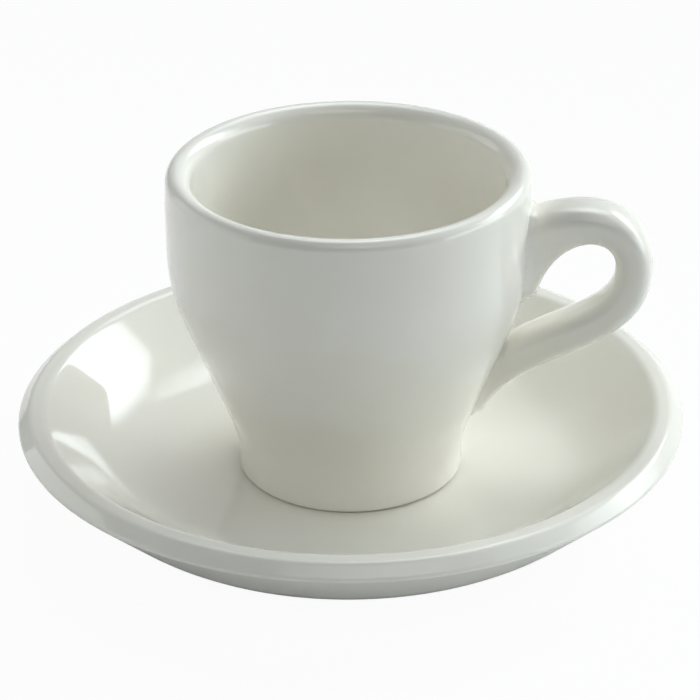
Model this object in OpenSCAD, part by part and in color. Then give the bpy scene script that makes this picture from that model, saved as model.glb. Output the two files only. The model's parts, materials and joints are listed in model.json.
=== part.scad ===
// Espresso cup with its saucer: thick glazed porcelain, a flared cup with a looped
// handle, standing on the flat middle of a deep saucer. Millimetres, Z up, the
// handle towards +X, the origin in the middle of the saucer's base.

/* [Cup] */
// Height of the cup, from the bottom of its foot to the top of its lip
cup_h = 58; // [54:0.5:66]
// Widest diameter of the cup, across the upright band below the lip
cup_d = 64.4; // [60:0.2:70]
// Diameter of the foot
foot_d = 40.8; // [37:0.2:44]
// Thickness of the cup's wall
wall_t = 4.6; // [3.5:0.1:5.4]
// Thickness of the cup's bottom, inside the foot ring
bottom_t = 6; // [4:0.1:8]
// Height at which the wall starts to flare out of the foot
flare_h = 6.8; // [5.5:0.1:8.5]
// Depth of the upright band, from the top of the lip down to the shoulder
band_h = 21; // [18:0.5:24]
// Rounding of the hollow where the wall leaves the foot
flare_round = 20; // [8:1:28]
// Rounding of the shoulder where the flare turns upright
shoulder_round = 36; // [15:1:42]
// Rounding of the bowl where its wall meets its floor
bowl_round = 10; // [4:0.5:12]

/* [Lip] */
// How far the top of the wall draws in below the lip
lip_draw = 0.3; // [0.1:0.1:1.2]
// Height over which the wall draws in
lip_draw_h = 7; // [4:0.5:9]
// Slope of the lip's top, falling inwards, in degrees
lip_slope = 15; // [5:1:22]
// Rounding of the lip's outer edge
lip_edge_round = 1.8; // [0.6:0.1:2.4]
// Rounding of the lip's inner edge
lip_inner_round = 2.7; // [0.8:0.1:3.2]

/* [Foot] */
// Width of the foot ring that the cup stands on
ring_w = 4; // [3:0.1:5.5]
// Height of the hollow inside the foot ring
ring_h = 1.8; // [1:0.1:2.5]
// Rounding of the foot's outer edge
foot_round = 1.1; // [0.4:0.1:1.4]

/* [Handle] */
// How far the strap's middle line stands out from the widest part of the cup
handle_out = 18; // [15:0.5:22]
// Depth of the strap's outermost point below the top of the lip
handle_mid_drop = 15.7; // [13:0.1:19]
// Depth of the upper root below the top of the lip
handle_root_drop = 16; // [13.5:0.1:18]
// Height of the lower root above the bottom of the foot
handle_tail_h = 15.6; // [13:0.1:18.5]
// Thickness of the strap, measured in the plane of its loop
strap_t = 6.6; // [5:0.1:8]
// Width of the strap across the loop
strap_w = 10; // [8:0.1:12]
// Width of the strap where its tail meets the wall
tail_w = 8.6; // [7:0.1:11]
// How much the strap thickens at its upper root
root_flare = 9.4; // [5:0.1:10.5]
// How much the strap thickens at its lower root
tail_flare = 2.6; // [1:0.1:5]

/* [Saucer] */
// Diameter of the saucer
saucer_d = 120; // [112:1:130]
// Height of the rim's crest above the table, before the crest is rounded
saucer_h = 19.2; // [17.6:0.1:21.8]
// Width of the rim's sloping top, from its outer edge in to its crest
rim_w = 3.4; // [3:0.1:5]
// How far the rim's top falls from its crest to its outer edge
rim_fall = 3.1; // [1:0.1:3.4]
// Height of the rim's outer edge
rim_edge_h = 0.6; // [0.4:0.1:2]
// Rounding of the rim's crest
crest_round = 3.6; // [0.8:0.1:4]
// Rounding of the rim's outer edge, above and below
rim_round = 0.6; // [0.4:0.1:1.4]
// Diameter at which the well's floor turns up into its wall
well_d = 85.4; // [78:0.2:90]
// How far the well's floor rises from the flat middle out to that turn
well_rise = 2.6; // [1.4:0.1:3.6]
// Rounding of that turn
well_round = 20; // [6:1:26]
// Diameter of the underside where the base turns up into the wall
heel_d = 93.6; // [88:0.2:98]
// Height of that turn above the table
heel_h = 3.4; // [2.8:0.1:4.4]
// Rounding of that turn
heel_round = 25; // [8:1:30]

/* [Base and seat] */
// Diameter of the base ring that the saucer stands on
base_d = 76; // [66:0.5:80]
// Width of the base ring
base_ring_w = 4.5; // [3:0.1:6]
// Height of the hollow inside the base ring
base_ring_h = 1.4; // [0.8:0.1:2]
// Height of the flat middle that the cup stands on
seat_h = 5; // [4.2:0.1:6]
// Distance from the cup's foot out to the turn where the saucer's floor starts to rise
seat_margin = 1.3; // [0.6:0.1:3]

/* [Hidden] */
glaze = [0.93, 0.92, 0.88];
// Largest turn between two points of a rounded corner, in degrees
arc_step = 6;
// Facets of a full turn
turn_facets = 96;
// Rounding of the small corners under the foot and the base
small_round = 0.6;

// Cup, measured from the bottom of its foot
cup_r = cup_d / 2;
foot_r = foot_d / 2;
shoulder_h = cup_h - band_h;
flare_angle = atan2(cup_r - foot_r, shoulder_h - flare_h);
floor_h = ring_h + bottom_t;
inner_r = cup_r - wall_t;
inner_shoulder_h = shoulder_h + wall_t * tan(flare_angle / 2);
bowl_r = flare_r(floor_h) - wall_t / cos(flare_angle);
// Both roundings of the lip shrink together where the wall is too thin for them
lip_lean = atan2(lip_draw, lip_draw_h);
lip_corner_r = cup_r - lip_draw;
lip_run = (lip_corner_r - inner_r) / cos(lip_slope);
edge_reach = lip_edge_round / tan((90 - lip_slope + lip_lean) / 2);
inner_reach = lip_inner_round / tan((90 + lip_slope) / 2);
lip_fit = min(1, 0.98 * lip_run / (edge_reach + inner_reach));
edge_round = lip_edge_round * lip_fit;
// The lip's outer corner stands above the rounded lip, whose top is at cup_h
lip_corner_h = cup_h + edge_reach * lip_fit * cos(lip_lean) - edge_round * (1 - sin(lip_lean));
lip_inner_h = lip_corner_h - (lip_corner_r - inner_r) * tan(lip_slope);

// Handle, measured from the cup's axis and the bottom of its foot
// How deep the middle of each end reaches into the wall before it is cut to the wall
root_sink = 4.5;
tail_sink = 3;
// Rounding of the strap's ends, which stand a little proud of the wall
end_round = 1.2;
// Distance over which the strap thickens towards each root, and widens at the upper one
root_flare_run = 21;
tail_flare_run = 19;
root_spread_run = 10;
// How much the strap widens at its upper root
root_spread = 1.9;
// Squareness of the strap's section: 2 is an ellipse, larger is squarer
strap_square = 2.8;
strap_sides = 28;
strap_rings = 46;

root = [cup_r - root_sink, cup_h - handle_root_drop];
outermost = [cup_r + handle_out, cup_h - handle_mid_drop];
tail = [flare_r(handle_tail_h) - tail_sink, handle_tail_h];
// Pulls that shape the two halves of the loop, from its ends
root_pull = [12.5, 12.8];
top_pull = 8;
under_pull = 13.9;
tail_pull = [12.4, 15];
upper_half = [root, root + root_pull, outermost + [0, top_pull], outermost];
lower_half = [outermost, outermost - [0, under_pull], tail + tail_pull, tail];

// Saucer
saucer_r = saucer_d / 2;
heel_r = heel_d / 2;
base_r = base_d / 2;
base_round = 1.5;
// The turn round the flat middle starts at the foot's edge, so the foot stands on the flat
seat_r = foot_r + seat_margin;
seat_angle = atan2(well_rise, well_d / 2 - seat_r);
seat_round = seat_margin / tan(seat_angle / 2);
edge_h = saucer_h - rim_fall;

// Radius of the cup's flared wall at height h
function flare_r(h) = foot_r + (h - flare_h) * tan(flare_angle);

function flat(corner) = [corner[0], corner[1]];
function unit(v) = v / norm(v);

// Points of one corner, [x, y, rounding], between the corners before and after it
function corner_arc(before, at, after) =
    at[2] == 0 ? [flat(at)] :
    let (
        u = unit(flat(before) - flat(at)),
        v = unit(flat(after) - flat(at)),
        half = acos(u * v) / 2,
        centre = flat(at) + unit(u + v) * at[2] / sin(half),
        from = flat(at) + u * at[2] / tan(half) - centre,
        start = atan2(from[1], from[0]),
        turn = sign(cross(v, u)) * (180 - 2 * half),
        steps = ceil(abs(turn) / arc_step)
    )
    [for (k = [0 : steps]) centre + at[2] * [cos(start + turn * k / steps), sin(start + turn * k / steps)]];

// How far a corner's rounding reaches along its two sides
function reach(before, at, after) =
    at[2] == 0 ? 0 :
    let (
        u = unit(flat(before) - flat(at)),
        v = unit(flat(after) - flat(at))
    )
    at[2] / tan(acos(u * v) / 2);

// Share of its corners' reaches that the side between them has room for
function side_fit(from, to, reaches) =
    reaches == 0 ? 1 : min(1, 0.98 * norm(flat(to) - flat(from)) / reaches);

// Closed outline through corners given as [x, y, rounding]
// A rounding shrinks where its sides are too short for it
function outline(corners) =
    let (
        n = len(corners),
        reaches = [for (i = [0 : n - 1]) reach(corners[(i + n - 1) % n], corners[i], corners[(i + 1) % n])],
        fits = [for (i = [0 : n - 1])
            side_fit(corners[i], corners[(i + 1) % n], reaches[i] + reaches[(i + 1) % n])],
        fitted = [for (i = [0 : n - 1])
            [corners[i][0], corners[i][1], corners[i][2] * min(fits[(i + n - 1) % n], fits[i])]]
    )
    [for (i = [0 : n - 1]) each corner_arc(fitted[(i + n - 1) % n], fitted[i], fitted[(i + 1) % n])];

// Outside of the cup, from the foot's outer edge up to the lip's outer edge
cup_outside = [
    [foot_r, 0, foot_round],
    [foot_r, flare_h, flare_round],
    [cup_r, shoulder_h, shoulder_round],
    [cup_r, lip_corner_h - lip_draw_h, shoulder_round],
    [lip_corner_r, lip_corner_h, edge_round],
];

// Inside of the cup, from the lip's inner edge down to the middle of the floor
cup_inside = [
    [inner_r, lip_inner_h, lip_inner_round * lip_fit],
    [inner_r, inner_shoulder_h, shoulder_round],
    [bowl_r, floor_h, bowl_round],
    [0, floor_h, 0],
];

// Hollow of the foot, from its middle to the inside of the ring
cup_underside = [
    [0, ring_h, 0],
    [foot_r - ring_w, ring_h, small_round],
    [foot_r - ring_w, 0, small_round],
];

// Underside and outside of the saucer, from the middle of the base up to the rim
saucer_outside = [
    [0, base_ring_h, 0],
    [base_r - base_ring_w, base_ring_h, small_round],
    [base_r - base_ring_w, 0, small_round],
    [base_r, 0, base_round],
    [heel_r, heel_h, heel_round],
    [saucer_r, edge_h - rim_edge_h, rim_round],
];

// Rim and well of the saucer, from the rim's outer edge to the flat middle
saucer_inside = [
    [saucer_r, edge_h, rim_round],
    [saucer_r - rim_w, saucer_h, crest_round],
    [well_d / 2, seat_h + well_rise, well_round],
    [seat_r, seat_h, seat_round],
    [0, seat_h, 0],
];

// Point at t, from 0 to 1, on the curve from p[0] to p[3] that p[1] and p[2] pull out
function curve(p, t) =
    pow(1 - t, 3) * p[0] + 3 * t * pow(1 - t, 2) * p[1] + 3 * t * t * (1 - t) * p[2] + pow(t, 3) * p[3];

// Direction of that curve at t
function heading(p, t) =
    unit(pow(1 - t, 2) * (p[1] - p[0]) + 2 * t * (1 - t) * (p[2] - p[1]) + t * t * (p[3] - p[2]));

// Extra size that fades out smoothly over the given run
function fade(extra, distance, run) = extra * pow(max(0, 1 - distance / run), 2);

function strap_thickness(p) =
    strap_t
    + fade(root_flare, norm(p - root), root_flare_run)
    + fade(tail_flare, norm(p - tail), tail_flare_run);

// Width across the loop: spread at the upper root, tapering along the lower half
function strap_width(p, half, t) =
    strap_w
    + fade(root_spread, norm(p - root), root_spread_run)
    + half * t * (tail_w - strap_w);

// Half size of a rounded section in the direction with cosine or sine c
function section(c, size) = sign(c) * pow(abs(c), 2 / strap_square) * size / 2;

// One ring of points of the strap, on half 0 or 1 of the loop: trim takes that much off
// all round it, and push moves it along the strap
function strap_ring(half, t, trim = 0, push = 0) =
    let (
        path = half == 0 ? upper_half : lower_half,
        along = heading(path, t),
        outward = [-along[1], along[0]],
        on_path = curve(path, t),
        p = on_path + push * along,
        thickness = strap_thickness(on_path) - 2 * trim,
        width = strap_width(on_path, half, t) - 2 * trim
    )
    [for (k = [0 : strap_sides - 1])
        let (
            a = 360 * k / strap_sides,
            q = p + outward * section(cos(a), thickness)
        )
        [q[0], section(sin(a), width), q[1]]];

// Loop of the handle, with its ends inside the cup's wall
module strap() {
    rounding = [for (a = [0 : 30 : 60]) end_round * [1 - sin(a), cos(a)]];
    rings = [
        for (r = rounding) strap_ring(0, 0, r[0], -r[1]),
        for (i = [0 : strap_rings])
            let (s = 2 * i / strap_rings, half = s < 1 ? 0 : 1)
            strap_ring(half, s - half),
        for (i = [len(rounding) - 1 : -1 : 0]) strap_ring(1, 1, rounding[i][0], rounding[i][1]),
    ];
    points = [for (ring = rings) each ring];
    n = strap_sides;
    last = (len(rings) - 1) * n;
    sides = [
        for (i = [0 : len(rings) - 2], k = [0 : n - 1])
            let (a = i * n + k, b = i * n + (k + 1) % n)
            each [[a, b, b + n], [a, b + n, a + n]]
    ];
    start_cap = [for (k = [1 : n - 2]) [0, k + 1, k]];
    end_cap = [for (k = [1 : n - 2]) [last, last + k, last + k + 1]];
    polyhedron(points, concat(sides, start_cap, end_cap));
}

// Full space inside the cup's outer skin, to which the handle's roots are cut
module cup_skin() {
    rotate_extrude($fn = turn_facets)
        polygon(outline(concat([[0, 0, 0]], cup_outside, [[0, lip_corner_h, 0]])));
}

module saucer() {
    color(glaze)
        rotate_extrude($fn = turn_facets)
            polygon(outline(concat(saucer_outside, saucer_inside)));
}

module cup_body() {
    color(glaze)
        translate([0, 0, seat_h])
            rotate_extrude($fn = turn_facets)
                polygon(outline(concat(cup_underside, cup_outside, cup_inside)));
}

module cup_handle() {
    color(glaze)
        translate([0, 0, seat_h])
            difference() {
                strap();
                cup_skin();
            }
}

saucer();
cup_body();
cup_handle();
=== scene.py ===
import json
import math

import bmesh
import bpy
import numpy as np
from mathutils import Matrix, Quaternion, Vector


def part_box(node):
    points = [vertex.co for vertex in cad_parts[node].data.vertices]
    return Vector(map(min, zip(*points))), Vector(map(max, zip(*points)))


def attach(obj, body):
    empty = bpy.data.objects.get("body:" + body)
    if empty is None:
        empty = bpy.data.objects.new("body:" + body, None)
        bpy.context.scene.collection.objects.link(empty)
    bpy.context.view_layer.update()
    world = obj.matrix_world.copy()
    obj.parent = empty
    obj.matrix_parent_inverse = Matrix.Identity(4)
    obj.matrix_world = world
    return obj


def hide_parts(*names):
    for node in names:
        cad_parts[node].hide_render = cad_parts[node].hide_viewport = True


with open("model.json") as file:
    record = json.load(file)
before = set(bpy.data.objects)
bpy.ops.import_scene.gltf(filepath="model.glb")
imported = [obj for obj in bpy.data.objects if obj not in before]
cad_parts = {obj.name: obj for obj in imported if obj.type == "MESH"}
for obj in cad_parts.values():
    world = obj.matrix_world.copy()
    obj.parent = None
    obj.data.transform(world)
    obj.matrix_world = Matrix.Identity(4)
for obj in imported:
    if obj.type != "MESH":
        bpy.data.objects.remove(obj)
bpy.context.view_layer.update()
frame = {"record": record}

# Saucer: a deep round plate of thick white porcelain, shaped on a turning mould and fired.
# It is glazed all over except the ring that it stands on. The cup stands loose on its
# flat middle.
MM = 0.001
saucer_r = frame["record"]["size"]["bbox_m"][0] / 2
rim_top_h = 18.05 * MM
rim_top_w = 2.7 * MM
rim_face_w = 2.16 * MM
rim_fall = 1.95 * MM
rim_edge_h = 0.6 * MM
crest_round = 1.8 * MM
crest_inner_round = 2.4 * MM
rim_round = 0.6 * MM
well_r = 42.7 * MM
well_rise = 2.6 * MM
well_round = 20 * MM
heel_r = 46.8 * MM
heel_h = 3.4 * MM
heel_round = 25 * MM
base_r = 38 * MM
base_ring_w = 4.5 * MM
base_ring_h = 1.4 * MM
base_round = 1.5 * MM
small_round = 0.6 * MM
seat_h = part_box("cup_body")[0].z
seat_r = 21.7 * MM
seat_round = 21 * MM

arc_step = math.radians(5)
line_step = 1.2 * MM
turn_steps = 192


def drawn_on(wire, pen, steps, **sweep):
    """The wire drawn on from the vertex pen, in a line or an arc; its new end."""
    return bmesh.ops.spin(wire, geom=[pen], steps=steps, **sweep)["geom_last"][0]


def drawn_line(wire, pen, end):
    """A straight run of short edges from the vertex pen to the point end."""
    run = end - pen.co
    if run.length < 1e-7:
        return pen
    steps = math.ceil(run.length / line_step)
    return drawn_on(wire, pen, steps, dvec=run / steps, axis=(0, 1, 0))


def drawn_profile(corners):
    """A wire from the first corner to the last, each given as (radius, height, rounding)."""
    wire = bmesh.new()
    points = [Vector((radius, 0, height)) for radius, height, rounding in corners]
    pen = wire.verts.new(points[0])
    for before, at, after, corner in zip(points, points[1:], points[2:], corners[1:]):
        rounding = corner[2]
        back = (before - at).normalized()
        on = (after - at).normalized()
        half = back.angle(on) / 2
        pen = drawn_line(wire, pen, at + back * rounding / math.tan(half))
        if rounding:
            turn = math.pi - 2 * half
            pen = drawn_on(
                wire, pen, max(3, math.ceil(turn / arc_step)), angle=turn, axis=on.cross(back).normalized(),
                cent=at + (back + on).normalized() * rounding / math.sin(half))
    drawn_line(wire, pen, points[-1])
    return wire


def turned(wire):
    """The wire turned once round the Z axis into a closed skin."""
    bmesh.ops.spin(wire, geom=wire.verts[:] + wire.edges[:], cent=(0, 0, 0), axis=(0, 0, 1),
                   angle=2 * math.pi, steps=turn_steps, use_merge=True)
    bmesh.ops.remove_doubles(wire, verts=wire.verts, dist=1e-6)
    bmesh.ops.recalc_face_normals(wire, faces=wire.faces)
    return wire


def finished_piece(name, mesh, paint):
    """The mesh as a smooth object with its material, in its place."""
    for face in mesh.faces:
        face.smooth = True
    data = bpy.data.meshes.new(name)
    mesh.to_mesh(data)
    mesh.free()
    data.materials.append(paint)
    piece = bpy.data.objects.new(name, data)
    bpy.context.collection.objects.link(piece)
    return piece


class Shade:
    """One output of a node tree's nodes. Arithmetic on it adds Math nodes to the tree."""

    def __init__(self, tree, socket=None):
        self.tree = tree
        self.socket = socket

    def node(self, kind, settings=None, inputs=None, output=0):
        """A new node: its settings first, then the values or links of its sockets."""
        made = self.tree.nodes.new(kind)
        for name, value in (settings or {}).items():
            setattr(made, name, value)
        for key, value in (inputs or {}).items():
            if isinstance(value, Shade):
                self.tree.links.new(value.socket, made.inputs[key])
            else:
                made.inputs[key].default_value = value
        return Shade(self.tree, made.outputs[output]) if made.outputs else None

    def math(self, operation, first, second):
        return self.node("ShaderNodeMath", {"operation": operation}, {0: first, 1: second})

    def __add__(self, other):
        return self.math("ADD", self, other)

    def __radd__(self, other):
        return self.math("ADD", other, self)

    def __sub__(self, other):
        return self.math("SUBTRACT", self, other)

    def __rsub__(self, other):
        return self.math("SUBTRACT", other, self)

    def __mul__(self, other):
        return self.math("MULTIPLY", self, other)

    def __rmul__(self, other):
        return self.math("MULTIPLY", other, self)

    def rise(self, low, high):
        """0 below low, 1 above high, and a smooth rise between them."""
        return self.node("ShaderNodeMapRange", {"interpolation_type": "SMOOTHSTEP"},
                         {"Value": self, "From Min": low, "From Max": high})

    def blend(self, first, second):
        """A colour between two others, with this value as the share of the second."""
        return self.node("ShaderNodeMix", {"data_type": "RGBA"}, {0: self, 6: first, 7: second}, 2)

    def noise(self, size, detail):
        """Soft noise over this position, with lumps of about the given size."""
        return self.node("ShaderNodeTexNoise", {}, {"Vector": self, "Scale": 1 / size, "Detail": detail})


def empty_tree(owner):
    """The owner's node tree, cleared."""
    owner.use_nodes = True
    owner.node_tree.nodes.clear()
    return Shade(owner.node_tree)


thin_glaze = (0.94, 0.915, 0.84, 1)
thick_glaze = (0.925, 0.895, 0.81, 1)
bare_body = (0.70, 0.66, 0.58, 1)
glaze_ior = 1.5
glaze_roughness = 0.04
roughness_drift = 0.04
bare_roughness = 0.75
ring_edge = 0.25 * MM
drift_size = 26 * MM
cloud_size = 7 * MM
cloud_share = 0.3
ripple_size = 14 * MM
ripple_depth = 0.02 * MM
peel_size = 1.6 * MM
peel_share = 0.06


def porcelain(name, bare_top):
    """White glaze over porcelain, with the bare fired body showing below the height bare_top."""
    paint = bpy.data.materials.new(name)
    shade = empty_tree(paint)
    place = shade.node("ShaderNodeTexCoord", output="Object")
    height = shade.node("ShaderNodeSeparateXYZ", {}, {0: place}, "Z")
    bare = 1 - height.rise(bare_top, bare_top + ring_edge)
    drift = place.noise(drift_size, 2)
    cloud = place.noise(cloud_size, 3)
    ripple = place.noise(ripple_size, 1)
    peel = place.noise(peel_size, 2)
    thickness = (drift * (1 - cloud_share) + cloud * cloud_share).rise(0.35, 0.65)
    glaze = thickness.blend(thin_glaze, thick_glaze)
    bump = shade.node("ShaderNodeBump", {}, {
        "Strength": 1.0, "Distance": ripple_depth, "Height": ripple + peel * peel_share})
    surface = shade.node("ShaderNodeBsdfPrincipled", {}, {
        "Base Color": bare.blend(glaze, bare_body),
        "Roughness": glaze_roughness + cloud * roughness_drift + bare * bare_roughness,
        "IOR": glaze_ior,
        "Normal": bump})
    shade.node("ShaderNodeOutputMaterial", {}, {"Surface": surface})
    return paint


saucer_profile = drawn_profile([
    (0, base_ring_h, 0),
    (base_r - base_ring_w, base_ring_h, small_round),
    (base_r - base_ring_w, 0, small_round),
    (base_r, 0, base_round),
    (heel_r, heel_h, heel_round),
    (saucer_r, rim_top_h - rim_fall - rim_edge_h, rim_round),
    (saucer_r, rim_top_h - rim_fall, rim_round),
    (saucer_r - rim_face_w, rim_top_h, crest_round),
    (saucer_r - rim_face_w - rim_top_w, rim_top_h, crest_inner_round),
    (well_r, seat_h + well_rise, well_round),
    (seat_r, seat_h, seat_round),
    (0, seat_h, 0),
])
saucer = finished_piece("saucer_glazed", turned(saucer_profile), porcelain("saucer_glaze", 0))
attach(saucer, "saucer")
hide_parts("saucer")

# Cup body: the same white porcelain, turned with a thick wall that flares from a foot ring
# to an upright band. Its lip is cut to fall inwards, and the glaze rounds its edges. It
# stands loose on the saucer, on the bare ring of its foot.
cup_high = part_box("cup_body")[1]
cup_r = cup_high.y
cup_top = cup_high.z
foot_r = 20.4 * MM
foot_ring_w = 4 * MM
foot_hollow_h = 1.8 * MM
foot_round = 1.1 * MM
flare_h = seat_h + 6.8 * MM
flare_round = 20 * MM
shoulder_h = cup_top - 21 * MM
shoulder_round = 36 * MM
wall_t = 4.6 * MM
floor_h = seat_h + 7.8 * MM
bowl_round = 10 * MM
lip_draw = 0.3 * MM
lip_draw_h = 7 * MM
lip_slope = math.radians(15)
lip_edge_round = 1.8 * MM
lip_inner_round = 2.7 * MM

flare_slope = (cup_r - foot_r) / (shoulder_h - flare_h)
flare_angle = math.atan(flare_slope)
inner_r = cup_r - wall_t
bowl_r = foot_r + (floor_h - flare_h) * flare_slope - wall_t / math.cos(flare_angle)
lip_lean = math.atan(lip_draw / lip_draw_h)
lip_touch = lip_edge_round / math.tan((math.pi / 2 - lip_slope + lip_lean) / 2)
lip_corner_h = cup_top + lip_touch * math.cos(lip_lean) - lip_edge_round * (1 - math.sin(lip_lean))
lip_corner_r = cup_r - lip_draw

cup_outside = [
    (foot_r, seat_h, foot_round),
    (foot_r, flare_h, flare_round),
    (cup_r, shoulder_h, shoulder_round),
    (cup_r, lip_corner_h - lip_draw_h, shoulder_round),
    (lip_corner_r, lip_corner_h, lip_edge_round),
]
cup_profile = drawn_profile([
    (0, seat_h + foot_hollow_h, 0),
    (foot_r - foot_ring_w, seat_h + foot_hollow_h, small_round),
    (foot_r - foot_ring_w, seat_h, small_round),
    *cup_outside,
    (inner_r, lip_corner_h - (lip_corner_r - inner_r) * math.tan(lip_slope), lip_inner_round),
    (inner_r, shoulder_h + wall_t * math.tan(flare_angle / 2), shoulder_round),
    (bowl_r, floor_h, bowl_round),
    (0, floor_h, 0),
])
cup = finished_piece("cup_body_glazed", turned(cup_profile), porcelain("cup_glaze", seat_h))
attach(cup, "cup")
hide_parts("cup_body")

# Cup handle: a looped strap of the same porcelain, cast by itself and stuck on with slip
# while both pieces were damp. It thickens into its upper root, tapers to its tail, and the
# glaze fills the corner where it meets the wall.
strap_t = 6.6 * MM
strap_w = 10 * MM
tail_w = 8.6 * MM
root_flare = 9.4 * MM
root_flare_run = 21 * MM
root_spread = 1.9 * MM
root_spread_run = 10 * MM
tail_flare = 2.6 * MM
tail_flare_run = 19 * MM
strap_square = 2.8
root_round = 4.5 * MM
tail_round = 2.2 * MM
seam_fillet = 0.9 * MM
seam_depth = 1.0 * MM
strap_sides = 48
strap_rings = 140
nose_rings = 10
nose_tip = math.radians(2)

root_sink = 4.5 * MM
root_drop = 16 * MM
root_pull = Vector((12.5, 0, 12.8)) * MM
loop_reach = 18 * MM
loop_drop = 15.7 * MM
loop_pull_up = Vector((0, 0, 8)) * MM
loop_pull_down = Vector((0, 0, -13.9)) * MM
tail_sink = 3 * MM
tail_h = seat_h + 15.6 * MM
tail_pull = Vector((12.4, 0, 15)) * MM

root = Vector((cup_r - root_sink, 0, cup_top - root_drop))
outermost = Vector((cup_r + loop_reach, 0, cup_top - loop_drop))
tail = Vector((foot_r + (tail_h - flare_h) * flare_slope - tail_sink, 0, tail_h))
upper_half = [root, root + root_pull, outermost + loop_pull_up, outermost]
lower_half = [outermost, outermost + loop_pull_down, tail + tail_pull, tail]

wall_line = drawn_profile(cup_outside)
wall_points = sorted((vert.co.z, vert.co.x) for vert in wall_line.verts)
wall_heights, wall_radii = zip(*wall_points)
wall_line.free()


def on_curve(points, t):
    """Point and heading at t, from 0 to 1, on the curve that the two middle points pull out."""
    a, b, c, d = points
    s = 1 - t
    place = a * s ** 3 + b * (3 * t * s ** 2) + c * (3 * t ** 2 * s) + d * t ** 3
    heading = (b - a) * s ** 2 + (c - b) * (2 * t * s) + (d - c) * t ** 2
    return place, heading.normalized()


def fade(extra, distance, run):
    """An extra size that fades out smoothly over the given run."""
    return extra * max(0, 1 - distance / run) ** 2


def squared(c):
    """The place of a rounded section's point with cosine or sine c, from -1 to 1."""
    return math.copysign(abs(c) ** (2 / strap_square), c)


def wall_gap(point):
    """How far a point stands off the cup's wall, measured level."""
    return math.hypot(point.x, point.y) - float(np.interp(point.z, wall_heights, wall_radii))


def strap_ring(mesh, share, scale=1.0, push=0.0):
    """A ring of the strap at share of the loop, from 0 to 2; the edges that it is made of."""
    half = upper_half if share < 1 else lower_half
    t = share if share < 1 else share - 1
    place, along = on_curve(half, t)
    thickness = (strap_t + fade(root_flare, (place - root).length, root_flare_run)
                 + fade(tail_flare, (place - tail).length, tail_flare_run))
    width = strap_w + fade(root_spread, (place - root).length, root_spread_run)
    if share > 1:
        width += t * (tail_w - strap_w)
    centre = place + along * push
    outward = Vector((-along.z, 0, along.x))
    made = bmesh.ops.create_circle(mesh, segments=strap_sides, radius=1)
    for vert in made["verts"]:
        across = squared(vert.co.x) * thickness / 2 * scale
        aside = squared(vert.co.y) * width / 2 * scale
        vert.co = centre + outward * across + Vector((0, aside, 0))
        gap = min(max(wall_gap(vert.co) / seam_fillet, 0), 1)
        swell = seam_fillet * (1 - math.sqrt(1 - (1 - gap) ** 2))
        level = Vector((vert.co.x, vert.co.y, 0)).normalized()
        away = vert.co - centre
        away -= level * away.dot(level)
        vert.co += away.normalized() * swell
    return list({edge for vert in made["verts"] for edge in vert.link_edges})


def nose(k, length):
    """Size and reach of ring k of a strap's rounded end, from its tip to the full strap."""
    angle = nose_tip + (math.pi / 2 - nose_tip) * k / nose_rings
    return math.sin(angle), length * math.cos(angle)


handle_mesh = bmesh.new()
rings = []
for k in range(nose_rings):
    scale, reach = nose(k, root_round)
    rings.append(strap_ring(handle_mesh, 0, scale, -reach))
for k in range(strap_rings + 1):
    rings.append(strap_ring(handle_mesh, 2 * k / strap_rings))
for k in reversed(range(nose_rings)):
    scale, reach = nose(k, tail_round)
    rings.append(strap_ring(handle_mesh, 2, scale, reach))
for first, second in zip(rings, rings[1:]):
    bmesh.ops.bridge_loops(handle_mesh, edges=first + second)
bmesh.ops.holes_fill(handle_mesh, edges=handle_mesh.edges, sides=strap_sides)

# What is sunk deep in the wall is cut off, so that it doesn't show in the bowl, and each cut
# is closed by a fan to its middle.
sunk = [face for face in handle_mesh.faces
        if all(wall_gap(vert.co) < -seam_depth for vert in face.verts)]
bmesh.ops.delete(handle_mesh, geom=sunk, context="FACES")
for end, other in ((root, tail), (tail, root)):
    cut = [edge for edge in handle_mesh.edges if edge.is_boundary
           and (edge.verts[0].co - end).length < (edge.verts[0].co - other).length]
    skirt = bmesh.ops.extrude_edge_only(handle_mesh, edges=cut)["geom"]
    tips = [part for part in skirt if isinstance(part, bmesh.types.BMVert)]
    middle = sum((vert.co for vert in tips), Vector()) / len(tips)
    bmesh.ops.pointmerge(handle_mesh, verts=tips, merge_co=middle)
bmesh.ops.recalc_face_normals(handle_mesh, faces=handle_mesh.faces)
handle = finished_piece("cup_handle_glazed", handle_mesh, porcelain("handle_glaze", 0))
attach(handle, "cup")
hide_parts("cup_handle")

# Studio: a plain white floor under the saucer and soft white surroundings, both white to the
# camera. The floor keeps a soft shadow. In the glaze the surroundings are white on the side
# of the window and dim on the side away from it.
floor_side = 8
floor_gap = 0.05 * MM
floor_white = (0.86, 0.86, 0.86, 1)
floor_glow = 0.95
surround_light = 0.05


def seen_white(shade, mirrored=1):
    """1 for what the camera sees straight, mirrored where it is in a reflection, else 0."""
    path = shade.node("ShaderNodeLightPath").socket.node
    camera, glossy, through = [
        Shade(shade.tree, path.outputs[name])
        for name in ("Is Camera Ray", "Is Glossy Ray", "Is Transmission Ray")]
    return shade.math("MINIMUM", camera + (glossy + through) * mirrored, 1)


floor_paint = bpy.data.materials.new("white_floor")
shade = empty_tree(floor_paint)
lit = shade.node("ShaderNodeBsdfDiffuse", {}, {"Color": floor_white})
glow = shade.node("ShaderNodeEmission", {}, {"Strength": 1})
place = shade.node("ShaderNodeTexCoord", output="Object")
away = shade.node("ShaderNodeVectorMath", {"operation": "LENGTH"}, {0: place}, "Value")
# In reflections the floor's white fades out near the saucer, out to twice its radius. This is a painted
# shade round the saucer; the floor's own lit colour and real shadow show there instead.
white = seen_white(shade, away.rise(saucer_r, 2 * saucer_r)) * floor_glow
surface = shade.node("ShaderNodeMixShader", {}, {0: white, 1: lit, 2: glow})
shade.node("ShaderNodeOutputMaterial", {}, {"Surface": surface})

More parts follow.
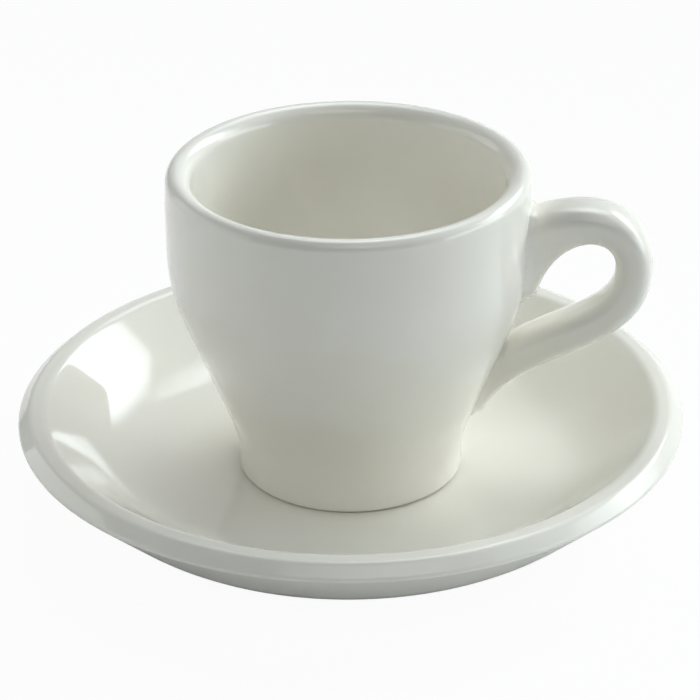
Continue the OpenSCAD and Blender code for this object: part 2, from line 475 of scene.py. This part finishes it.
floor_mesh = bmesh.new()
bmesh.ops.create_grid(floor_mesh, x_segments=1, y_segments=1, size=floor_side / 2)
bmesh.ops.translate(floor_mesh, verts=floor_mesh.verts, vec=(0, 0, -floor_gap))
floor = finished_piece("studio_floor", floor_mesh, floor_paint)

window_azimuth = math.radians(40)
window_side = (math.sin(window_azimuth), math.cos(window_azimuth), 0)
far_side = 0.1

world = bpy.data.worlds.new("studio")
bpy.context.scene.world = world
shade = empty_tree(world)
look = shade.node("ShaderNodeTexCoord", output="Object")
facing = shade.node("ShaderNodeVectorMath", {"operation": "DOT_PRODUCT"},
                    {0: look, 1: window_side}, "Value")
mirrored = far_side + facing.rise(0.1, 0.85) * (1 - far_side)
sky = shade.node("ShaderNodeBackground", {}, {
    "Strength": surround_light + seen_white(shade, mirrored) * (1 - surround_light)})
shade.node("ShaderNodeOutputWorld", {}, {"Surface": sky})

daylight = (0.875, 0.96, 1.0)
room_white = (0.935, 0.985, 1.0)


def softbox(name, place, aim, width, height, radiance, tint, spread=180):
    """A soft lamp at place, facing aim, with the given radiance seen along its axis.

    A spread below 180 degrees fades the lamp away from its axis. Blender brightens the axis
    for that, and the last factor of the energy takes this back.
    """
    lamp = bpy.data.lights.new(name, "AREA")
    lamp.shape = "RECTANGLE"
    lamp.size = width
    lamp.size_y = height
    lamp.spread = math.radians(spread)
    half = lamp.spread / 2
    lamp.energy = radiance * 4 * width * height * (1 - half / math.tan(half))
    lamp.color = tint
    holder = bpy.data.objects.new(name, lamp)
    holder.location = place
    holder.rotation_mode = "QUATERNION"
    holder.rotation_quaternion = (Vector(aim) - Vector(place)).to_track_quat("-Z", "Y")
    bpy.context.collection.objects.link(holder)


cup_middle = (0, 0, 0.03)
over_cup = (-0.030, -0.036, 0.118)
softbox("window", place=(0.509, 0.607, 0.564), aim=over_cup,
        width=0.76, height=0.30, radiance=9.8, tint=daylight, spread=42)
softbox("softbox_back_right", place=(0.726, 0.386, 0.505), aim=cup_middle,
        width=0.6, height=0.4, radiance=3.6, tint=daylight, spread=50)
softbox("softbox_top", place=(0, 0.517, 0.827), aim=cup_middle,
        width=0.8, height=0.6, radiance=4.6, tint=room_white, spread=44)
softbox("softbox_right", place=(0.93, 0, 0.23), aim=cup_middle,
        width=0.8, height=0.4, radiance=2.8, tint=daylight)
softbox("softbox_left", place=(-0.70, -0.02, 0.25), aim=cup_middle,
        width=1.0, height=0.44, radiance=1.05, tint=room_white)
softbox("softbox_front", place=(0.148, -0.553, 0.789), aim=cup_middle,
        width=0.7, height=0.5, radiance=1.75, tint=room_white, spread=60)

# Camera: at the photo's angle, looking down on the cup with the handle turned a little
# towards it.
camera_azimuth = math.radians(8)
camera_elevation = math.radians(27.2)
camera_distance = 496.2 * MM
camera_aim = Vector((0, 0, 27.2 * MM))
camera_roll = math.radians(-0.48)
camera_lens = 141.95
camera_sensor = 36

back = Vector((
    math.sin(camera_azimuth) * math.cos(camera_elevation),
    -math.cos(camera_azimuth) * math.cos(camera_elevation),
    math.sin(camera_elevation)))
camera_data = bpy.data.cameras.new("camera")
camera_data.lens = camera_lens
camera_data.sensor_width = camera_sensor
camera = bpy.data.objects.new("camera", camera_data)
camera.location = camera_aim + back * camera_distance
camera.rotation_mode = "QUATERNION"
camera.rotation_quaternion = (-back).to_track_quat("-Z", "Y") @ Quaternion((0, 0, 1), camera_roll)
bpy.context.collection.objects.link(camera)
bpy.context.scene.camera = camera
bpy.context.scene.view_settings.view_transform = "Standard"
